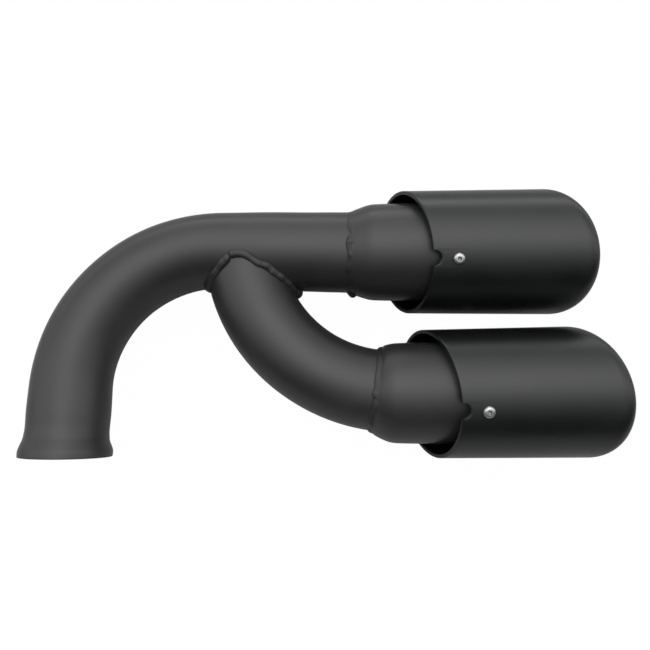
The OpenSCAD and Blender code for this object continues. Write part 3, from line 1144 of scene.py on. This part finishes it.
@dataclass
class ButtonScrews:
    """The button-head screws around one tip, each with a hexagon socket and a thread."""

    tip: OuterTip
    count: int = 3
    ring: float = 36.8
    first: float = math.radians(23.5)
    step: float = math.radians(115.0)
    head: float = 4.5
    height: float = 2.6
    edge: float = 0.4
    land: float = 0.7
    flats: float = 3.0
    socket: float = 2.0
    shank: float = 2.45
    thread: float = 0.28
    pitch: float = 0.8
    length: float = 8.0
    gap: float = 0.05
    neck: float = 0.4
    point: float = 0.9
    seat_bevel: Span = (0.25, 0.2)
    socket_bevel: float = 0.12
    floor_bevel: float = 0.1
    drill: float = 0.35
    shank_rows: int = 96
    button_rows: int = 12
    columns: int = 72

    def head_rings(self) -> Array:
        """Rings of a screw that stands along +Z, with its seat at 0, from the shank's end up.

        The shank's radius is a triangle wave wound as a helix. The button is a quarter ellipse
        from its edge to the land around the socket. The socket's radius is that of a hexagon:
        flats / 2 / cos(the angle from the nearest flat's middle).

        Returns:
            The rings, a pole at each end.
        """
        angle = around(self.columns)
        ones = np.ones_like(angle)
        depth = np.linspace(-self.length, -self.neck, self.shank_rows)
        phase = (depth[:, None] / self.pitch - angle / (2 * math.pi)) % 1.0
        ridge = self.thread * 2 * np.abs(phase - 0.5)
        taper = smooth_step((depth + self.length) / self.point)[:, None]
        shank = (self.shank - self.thread * (1 - taper)) - ridge * taper
        quarter = np.radians(np.linspace(0.0, 90.0, self.button_rows))
        flat = self.flats / 2 + self.land
        button = flat + (self.head - flat) * np.cos(quarter)
        rise = self.edge + (self.height - self.edge) * np.sin(quarter)
        beside = (angle + math.pi / 6) % (math.pi / 3) - math.pi / 6
        hexagon = self.flats / 2 / np.cos(beside)
        floor = self.height - self.socket
        seat = self.head - self.seat_bevel[0]
        radii = [0 * ones, *shank, shank[-1], seat * ones, self.head * ones]
        heights = [-self.length, *depth, 0.0, 0.0, self.seat_bevel[1]]
        radii += [r * ones for r in button]
        heights += list(rise)
        radii += [hexagon + self.socket_bevel, hexagon]
        heights += [self.height, self.height - self.socket_bevel]
        radii += [hexagon, hexagon - self.floor_bevel, 0 * ones]
        heights += [floor + self.floor_bevel, floor, floor - self.drill]
        radius = np.array(radii)
        z = np.broadcast_to(np.array(heights)[:, None], radius.shape)
        return np.stack([radius * np.cos(angle), radius * np.sin(angle), z], axis=-1)

    def build(self, wardrobe: Wardrobe) -> None:
        """Makes each screw and stands it on the tip, its axis along a radius.

        Args:
            wardrobe: The finishes.
        """
        rings = self.head_rings()
        seat = self.tip.radius_at(self.ring + self.head) + self.gap
        for i in range(self.count):
            angle = self.first + self.step * i
            out = np.array([0.0, -math.sin(angle), math.cos(angle)])
            beside = np.array([0.0, -math.cos(angle), -math.sin(angle)])
            ahead = np.array([1.0, 0.0, 0.0])
            middle = self.tip.axis_y + self.tip.climb * self.ring
            foot = np.array([self.tip.rear_x + self.ring, middle, 0.0]) + out * seat
            turned = rings[..., :1] * ahead + rings[..., 1:2] * beside + rings[..., 2:] * out
            name = f"{self.tip.side.value}_screw_{i + 1}"
            obj = skin(f"{name}_button", foot + turned, closed=False)
            wardrobe.hand_over(obj, Slot.SCREW, name)


@dataclass
class Bosses:
    """The welded bosses between sleeve and tip, kept as the frame has them."""

    count: int = 3

    def dress(self, wardrobe: Wardrobe) -> None:
        """Gives each boss its coat."""
        for side in Side:
            for i in range(self.count):
                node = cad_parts[f"{side.value}_boss_{i + 1}"]
                wardrobe.dress(node, Slot.BOSS)
                LOG.info("%s: coated", node.name)


# The whole tailpipe


@dataclass
class Tailpipe:
    """Both pipes with all that is welded or screwed to them."""

    upper_gap: float = 43.6
    lower_gap: float = 41.3
    upper_drop: float = 0.2
    lower_drop: float = 1.1
    sleeve_drop: float = 0.5
    neck_gap: float = 0.05
    upper_seed: float = 1.3
    lower_seed: float = 2.2
    upper_stations: tuple[float, ...] = (
        0.0, 4.0, 7.9, 12.0, 16.0, 20.0, 24.0, 32.0, 53.0, 120.0,
    )
    upper_radii: tuple[float, ...] = (
        33.3, 34.7, 36.1, 37.5, 38.5, 38.95, 39.1, 39.3, 39.9, 40.2,
    )
    lower_stations: tuple[float, ...] = (
        0.0, 3.5, 7.5, 11.3, 15.0, 19.0, 26.0, 34.7, 53.0, 120.0,
    )
    lower_radii: tuple[float, ...] = (
        33.2, 35.3, 37.2, 38.3, 38.8, 39.0, 39.15, 39.35, 39.6, 40.0,
    )
    upper_lumps: tuple[Lump, ...] = (
        Lump(79.0, 4.5, -0.6, -0.4, 0.9),
        Lump(91.0, 5.0, 0.8, 0.6, 1.0),
        Lump(95.0, 8.0, 0.8, 0.3, -0.8),
        Lump(97.0, 2.5, 0.2, -0.1, 0.5),
        Lump(111.0, 3.0, 0.0, 0.35, 0.3),
        Lump(133.0, 6.0, 0.3, 0.2, -0.6),
        Lump(188.0, 8.0, 0.2, 4.0, 2.1),
        Lump(250.0, 12.0, 0.4, 0.3, 0.4),
        Lump(318.0, 9.0, 0.4, 0.5, -0.5),
        Lump(354.0, 8.0, -0.4, -0.9, 0.5),
    )
    lower_lumps: tuple[Lump, ...] = (
        Lump(12.0, 8.0, 0.2, 1.1, 1.0),
        Lump(60.0, 9.0, 0.2, 0.3, 0.4),
        Lump(84.0, 5.0, 0.0, 0.2, 0.3),
        Lump(104.0, 5.0, 0.5, 0.2, -0.6),
        Lump(109.5, 2.5, -0.3, 0.1, 0.6),
        Lump(119.0, 9.0, 0.9, 1.0, 1.6),
        Lump(150.0, 9.0, 0.5, 0.3, -0.3),
        Lump(184.0, 12.0, 0.6, 0.7, 1.6),
        Lump(235.0, 10.0, 0.4, 0.4, 0.4),
        Lump(300.0, 9.0, 0.4, 0.3, -0.4),
    )

    def build(self, wardrobe: Wardrobe) -> None:
        """Makes every piece, from the inlet to the outlets."""
        main = MainPipe()
        branch = BranchPipe(main)
        main.build(wardrobe, branch)
        branch.build(wardrobe)
        SaddleBead(branch=branch).build(wardrobe)
        upper_y = main.seam[1]
        neck = main.radius + self.neck_gap
        SeamBead(
            side=Side.UPPER, centre=main.seam, tilt=main.tilt,
            pipe_radius=main.radius,
            waves=seam_waves(self.upper_seed), lumps=self.upper_lumps,
        ).build(wardrobe)
        SeamBead(
            side=Side.LOWER, centre=branch.seam, tilt=branch.tilt,
            pipe_radius=branch.across_radii[-1],
            waves=seam_waves(self.lower_seed), lumps=self.lower_lumps,
        ).build(wardrobe)
        Sleeve(
            Side.UPPER, main.seam, upper_y, main.tilt, neck,
            self.upper_stations, self.upper_radii,
        ).build(wardrobe)
        Sleeve(
            Side.LOWER, branch.seam, branch.axis_y - self.sleeve_drop, branch.tilt, neck,
            self.lower_stations, self.lower_radii,
            slide=10.0,
        ).build(wardrobe)
        upper = OuterTip(Side.UPPER, main.seam[0] + self.upper_gap, upper_y - self.upper_drop)
        lower = OuterTip(
            Side.LOWER, branch.seam[0] + self.lower_gap, branch.axis_y - self.lower_drop,
            rear_radius=49.8, front_radius=50.9, length=112.1, clocking=math.radians(27.0),
            front_clocking=math.radians(26.5), climb=0.0094,
        )
        for tip in (upper, lower):
            tip.build(wardrobe)
            ButtonScrews(tip).build(wardrobe)
        Bosses().dress(wardrobe)


# Studio


@dataclass(frozen=True)
class Sky:
    """Soft light from all around, whose strength turns with the angle about the X axis.

    The angle is 0 straight up and 90 degrees at the level of +Y, behind the part. A wide band
    of light lies overhead, and a narrow one, brighter still, low behind the part. Towards both
    ends of the X axis the light fades to a share of itself.
    """

    degrees: tuple[float, ...] = (
        -77.0, -55.0, -36.0, -21.0, -7.0, 7.0, 21.0, 36.0, 54.0, 70.0, 75.0, 81.0,
    )
    strengths: tuple[float, ...] = (
        0.0, 0.03, 0.57, 1.17, 2.45, 3.4, 3.1, 2.36, 1.5, 0.3, 0.3, 3.8,
    )
    level: float = 0.72
    ends: float = 0.6
    ends_span: Span = (0.1, 0.6)

    def build(self) -> None:
        """Makes the world: the bands of light for the part, and white for the camera."""
        world = bpy.data.worlds.new("white surround")
        bpy.context.scene.world = world
        world.use_nodes = True
        nodes = Nodes(world.node_tree)
        place = nodes.add("ShaderNodeTexCoord", {}).outputs["Generated"]
        way = nodes.add("ShaderNodeSeparateXYZ", {0: place}).outputs
        turn = nodes.calculate("ARCTAN2", way["Y"], way["Z"])
        share = nodes.calculate("MULTIPLY_ADD", turn, 1.0 / math.pi, 0.5)
        bands = nodes.add("ShaderNodeValToRGB", {0: share})
        peak = max(self.strengths)
        stops = bands.color_ramp.elements
        while len(stops) < len(self.degrees):
            stops.new(0.5)
        for stop, degrees, strength in zip(stops, self.degrees, self.strengths):
            stop.position = degrees / 180.0 + 0.5
            stop.color = (*(3 * [strength / peak]), 1.0)
        light = nodes.calculate("MULTIPLY", bands.outputs[0], peak * self.level)
        aside = nodes.calculate("ABSOLUTE", way["X"])
        fade = nodes.remap(aside, self.ends_span, (1.0, self.ends), kind="SMOOTHSTEP")
        faded = nodes.calculate("MULTIPLY", light, fade)
        seen = nodes.add("ShaderNodeLightPath", {}).outputs["Is Camera Ray"]
        strength = nodes.add("ShaderNodeMix", {0: seen, 2: faded, 3: 1.0}, data_type="FLOAT")
        glow = {"Color": WHITE, "Strength": strength.outputs[0]}
        back = nodes.add("ShaderNodeBackground", glow)
        nodes.add("ShaderNodeOutputWorld", {"Surface": back.outputs[0]})


@dataclass
class Studio:
    """Floor, white surround with its light, and camera. Lengths are in metres."""

    floor_z: float = -0.0511
    floor_half: float = 5.0
    floor_grey: float = 0.42
    floor_glow: float = 1.02
    floor_camera: float = 0.97
    target: tuple[float, float, float] = (0.19961, 0.10398, 0.0)
    distance: float = 0.60584
    elevation: float = math.radians(77.17)
    roll: float = math.radians(0.25)
    focal_pixels: float = 760.0
    frame_pixels: float = 650.0
    sensor_mm: float = 36.0
    clip: Span = (0.01, 50.0)
    sky: Sky = field(default_factory=Sky)

    def build(self) -> None:
        """Makes everything around the part."""
        self.floor()
        self.sky.build()
        self.camera()
        bpy.context.scene.view_settings.view_transform = "Standard"

    def floor_material(self) -> bpy.types.Material:
        """Matt grey to the part, and to the camera a white glow with a faint shadow."""
        made = bpy.data.materials.new("white floor")
        made.use_nodes = True
        nodes = Nodes(made.node_tree)
        path = nodes.add("ShaderNodeLightPath", {}).outputs
        seen = nodes.calculate("MULTIPLY", path["Is Camera Ray"], self.floor_camera)
        grey = (*(3 * [self.floor_grey]), 1.0)
        matt = nodes.add("ShaderNodeBsdfDiffuse", {"Color": grey}).outputs[0]
        white = {"Color": WHITE, "Strength": self.floor_glow}
        glow = nodes.add("ShaderNodeEmission", white).outputs[0]
        mixed = nodes.add("ShaderNodeMixShader", {0: seen, 1: matt, 2: glow})
        nodes.add("ShaderNodeOutputMaterial", {"Surface": mixed.outputs[0]})
        return made

    def floor(self) -> None:
        """Makes the floor, a wide square just under the part."""
        half = self.floor_half
        mesh = bpy.data.meshes.new("floor")
        corners = [(-half, -half), (half, -half), (half, half), (-half, half)]
        mesh.from_pydata([(x, y, self.floor_z) for x, y in corners], [], [(0, 1, 2, 3)])
        mesh.materials.append(self.floor_material())
        obj = bpy.data.objects.new("floor", mesh)
        bpy.context.scene.collection.objects.link(obj)

    def camera(self) -> None:
        """Makes the camera: square frame, looking down from the inlet's side, a little rolled."""
        data = bpy.data.cameras.new("camera")
        data.sensor_width = self.sensor_mm
        data.lens = self.sensor_mm * self.focal_pixels / self.frame_pixels
        data.clip_start, data.clip_end = self.clip
        obj = bpy.data.objects.new("camera", data)
        bpy.context.scene.collection.objects.link(obj)
        back = Vector((0.0, -math.cos(self.elevation), math.sin(self.elevation)))
        up = Vector((0.0, math.sin(self.elevation), math.cos(self.elevation)))
        right = Vector((1.0, 0.0, 0.0))
        rolled_right = right * math.cos(self.roll) - up * math.sin(self.roll)
        rolled_up = up * math.cos(self.roll) + right * math.sin(self.roll)
        turn = Matrix((rolled_right, rolled_up, back)).transposed().to_4x4()
        obj.matrix_world = Matrix.Translation(Vector(self.target) + back * self.distance) @ turn
        bpy.context.scene.camera = obj


def write_sizes() -> None:
    """Updates the view layer, so that every object's place is current."""
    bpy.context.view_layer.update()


def main() -> None:
    """Builds the finishes, the tailpipe and the studio."""
    logging.basicConfig(level=logging.INFO, format="%(name)s: %(message)s")
    wardrobe = Wardrobe()
    wardrobe.fill()
    Tailpipe().build(wardrobe)
    Studio().build()
    write_sizes()


if __name__ == "__main__":
    main()
